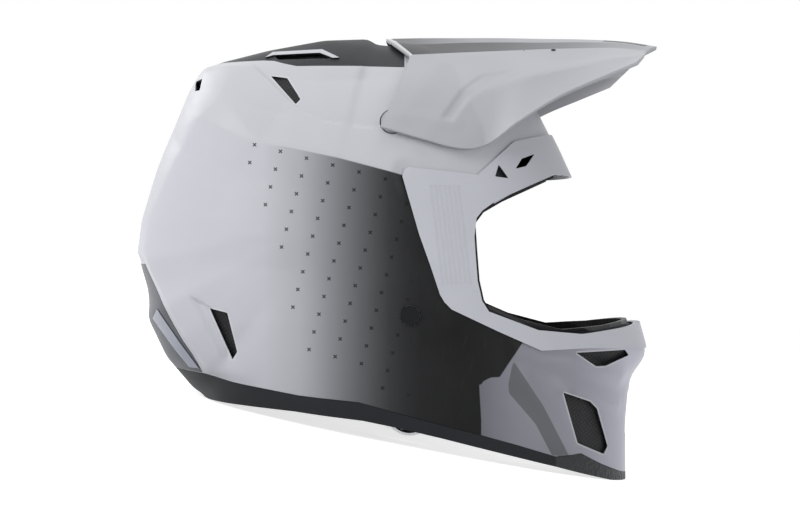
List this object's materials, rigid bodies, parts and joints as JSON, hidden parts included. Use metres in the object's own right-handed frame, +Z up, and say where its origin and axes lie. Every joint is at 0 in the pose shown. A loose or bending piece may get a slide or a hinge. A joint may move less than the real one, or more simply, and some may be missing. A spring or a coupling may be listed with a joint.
{
  "type": "motocross helmet",
  "caption": "Full-face off-road helmet with a tilting peak, open eye port, vented chin bar, pull-out cheek pads and a double D-ring strap.",
  "frame": {"origin": "centre of the helmet's length and width, on the surface it stands on", "axes": "+X to the front of the helmet, +Y to the wearer's left, +Z up"},
  "size_m": [0.3616, 0.244, 0.2997],
  "materials": {
    "shell_lacquer": "satin lacquer on a moulded fibre shell",
    "charcoal_plastic": "fine moulded grain",
    "frame_plastic": "moulded, embossed pattern",
    "peak_plastic": "satin lacquer on injection moulded plastic",
    "edge_rubber": "matt",
    "black_plastic": "fine moulded grain",
    "skid_plastic": "coarse moulded grain",
    "bumper_plastic": "satin moulded",
    "insert_plastic": "satin moulded",
    "vent_mesh": "fine mesh",
    "filter_foam": "open cell foam",
    "liner_foam": "expanded foam beads",
    "comfort_fabric": "brushed knit over foam",
    "disc_plastic": "smooth low-friction plastic",
    "stud_plastic": "smooth moulded",
    "tab_webbing": "woven tape",
    "strap_webbing": "woven tape",
    "steel": "bead blasted",
    "ring_steel": "polished, plated"
  },
  "bodies": {
    "helmet": {"outer_shell": "shell_lacquer", "crown_insert": "charcoal_plastic", "face_frame": "frame_plastic", "eye_port_gasket": "edge_rubber", "chin_deflector": "black_plastic", "base_trim": "edge_rubber", "chin_skid": "skid_plastic", "rear_bumper": "bumper_plastic", "rear_bumper_inserts": "insert_plastic", "brow_vent_plugs": "charcoal_plastic", "upper_vent_screens": "vent_mesh", "lower_vent_screens": "vent_mesh", "crown_vent_screens": "vent_mesh", "rear_vent_screens": "vent_mesh", "chin_upper_screens": "vent_mesh", "chin_lower_screens": "vent_mesh", "mouth_vent_grille": "black_plastic", "mouth_vent_filter": "filter_foam", "strap_anchor_caps": "black_plastic", "strap_rivets": "steel", "strap_anchor_plates": "steel", "impact_liner": "liner_foam", "chin_liner": "liner_foam", "slip_discs": "disc_plastic", "crown_pad": "comfort_fabric", "neck_roll": "comfort_fabric", "cheek_core_left": "liner_foam", "cheek_core_right": "liner_foam", "cheek_snap_sockets": "stud_plastic", "visor_pivot_studs": "steel", "visor_pivot_sockets": "charcoal_plastic", "chin_rivets": "black_plastic", "strap_short": "strap_webbing", "strap_long": "strap_webbing", "strap_snap": "black_plastic", "d_ring_sleeve": "strap_webbing"},
    "visor": {"visor": "peak_plastic", "visor_arm_bosses": "black_plastic", "visor_pins": "black_plastic"},
    "cheek_left": {"cheek_pad_left": "comfort_fabric", "cheek_snaps_left": "stud_plastic", "release_tab_left": "tab_webbing"},
    "cheek_right": {"cheek_pad_right": "comfort_fabric", "cheek_snaps_right": "stud_plastic", "release_tab_right": "tab_webbing"},
    "ring_inner": {"d_ring_inner": "ring_steel"},
    "ring_outer": {"d_ring_outer": "ring_steel"}
  },
  "joints": [
    {"name": "visor_tilt", "type": "hinge", "parent": "helmet", "child": "visor", "pos_m": [-0.02483, 0, 0.20604], "axis": [0, -1, 0], "range_deg": [-3, 5]},
    {"name": "cheek_left_pull", "type": "slide", "parent": "helmet", "child": "cheek_left", "axis": [0, -1, 0], "range_m": [0, 0.02]},
    {"name": "cheek_right_pull", "type": "slide", "parent": "helmet", "child": "cheek_right", "axis": [0, 1, 0], "range_m": [0, 0.02]},
    {"name": "ring_inner_swing", "type": "hinge", "parent": "helmet", "child": "ring_inner", "pos_m": [0.02254, -0.068, 0.02529], "axis": [0.9811, 0, 0.1935], "range_deg": [-60, 0]},
    {"name": "ring_outer_swing", "type": "hinge", "parent": "helmet", "child": "ring_outer", "pos_m": [0.02254, -0.0614, 0.02529], "axis": [0.9811, 0, 0.1935], "range_deg": [0, 60]}
  ]
}
